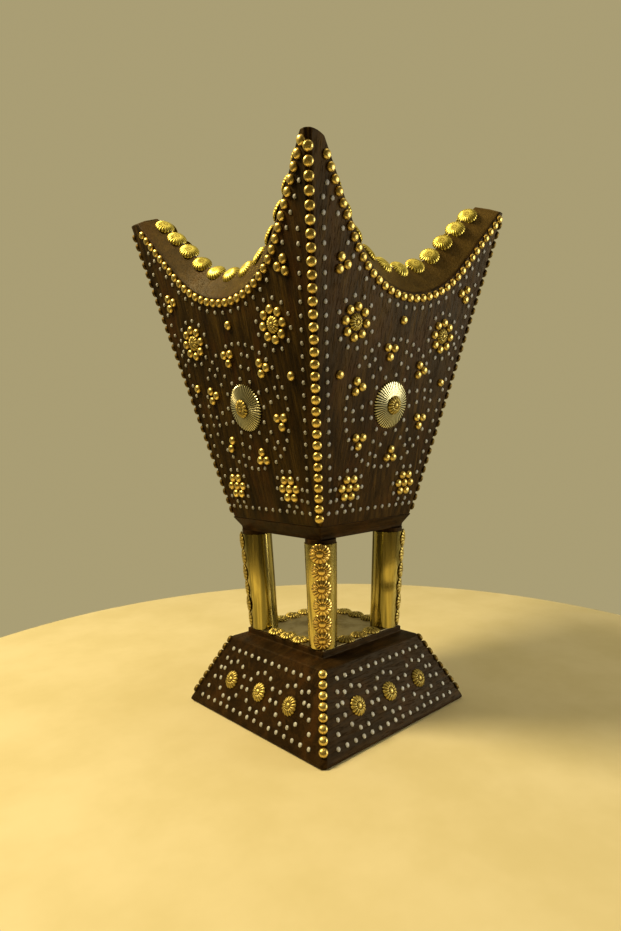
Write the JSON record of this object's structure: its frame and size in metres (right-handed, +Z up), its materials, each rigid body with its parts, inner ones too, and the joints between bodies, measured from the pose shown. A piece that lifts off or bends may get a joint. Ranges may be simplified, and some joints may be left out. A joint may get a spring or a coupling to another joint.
{
  "type": "incense burner",
  "caption": "Wooden incense burner with a flaring square cup, scooped between its corners, on brass-sleeved legs and a stepped base, studded with brass tacks and steel pins.",
  "frame": {"origin": "middle of the base's underside", "axes": "+Z up; the front faces -Y and one cup side faces each of +X, -X, +Y and -Y"},
  "size_m": [0.1716, 0.1716, 0.3145],
  "materials": {
    "dark_wood": "satin, worn at the edges",
    "post_wood": "bare, turned",
    "sleeve_brass": "bright rolled sheet, dented",
    "tack_brass": "polished",
    "daisy_brass": "stamped, darker in the hollows",
    "rosette_brass": "stamped, pale",
    "pin_steel": "dull",
    "plate_metal": "dull, creased sheet",
    "liner_metal": "dull sheet"
  },
  "bodies": {
    "root": {"base_block": "dark_wood", "base_corner_tacks_back_left": "tack_brass", "base_corner_tacks_back_right": "tack_brass", "base_corner_tacks_front_left": "tack_brass", "base_corner_tacks_front_right": "tack_brass", "base_daisies": "daisy_brass", "base_pins_back": "pin_steel", "base_pins_front": "pin_steel", "base_pins_left": "pin_steel", "base_pins_right": "pin_steel", "base_plate": "plate_metal", "cup_corner_tacks_back_left": "tack_brass", "cup_corner_tacks_back_right": "tack_brass", "cup_corner_tacks_front_left": "tack_brass", "cup_corner_tacks_front_right": "tack_brass", "cup_floor": "dark_wood", "cup_liner": "liner_metal", "cup_pins_back": "pin_steel", "cup_pins_front": "pin_steel", "cup_pins_left": "pin_steel", "cup_pins_right": "pin_steel", "cup_wall_back": "dark_wood", "cup_wall_front": "dark_wood", "cup_wall_left": "dark_wood", "cup_wall_right": "dark_wood", "face_daisies_back": "daisy_brass", "face_daisies_front": "daisy_brass", "face_daisies_left": "daisy_brass", "face_daisies_right": "daisy_brass", "face_tacks_back": "tack_brass", "face_tacks_front": "tack_brass", "face_tacks_left": "tack_brass", "face_tacks_right": "tack_brass", "leg_daisies_back_left": "daisy_brass", "leg_daisies_back_right": "daisy_brass", "leg_daisies_front_left": "daisy_brass", "leg_daisies_front_right": "daisy_brass", "leg_post_back_left": "post_wood", "leg_post_back_right": "post_wood", "leg_post_front_left": "post_wood", "leg_post_front_right": "post_wood", "leg_sleeve_back_left": "sleeve_brass", "leg_sleeve_back_right": "sleeve_brass", "leg_sleeve_front_left": "sleeve_brass", "leg_sleeve_front_right": "sleeve_brass", "plate_daisies": "daisy_brass", "rim_daisies_back": "daisy_brass", "rim_daisies_front": "daisy_brass", "rim_daisies_left": "daisy_brass", "rim_daisies_right": "daisy_brass", "rim_tacks_back": "tack_brass", "rim_tacks_front": "tack_brass", "rim_tacks_left": "tack_brass", "rim_tacks_right": "tack_brass", "rosette_back": "rosette_brass", "rosette_daisies": "daisy_brass", "rosette_front": "rosette_brass", "rosette_left": "rosette_brass", "rosette_right": "rosette_brass"}
  },
  "joints": []
}
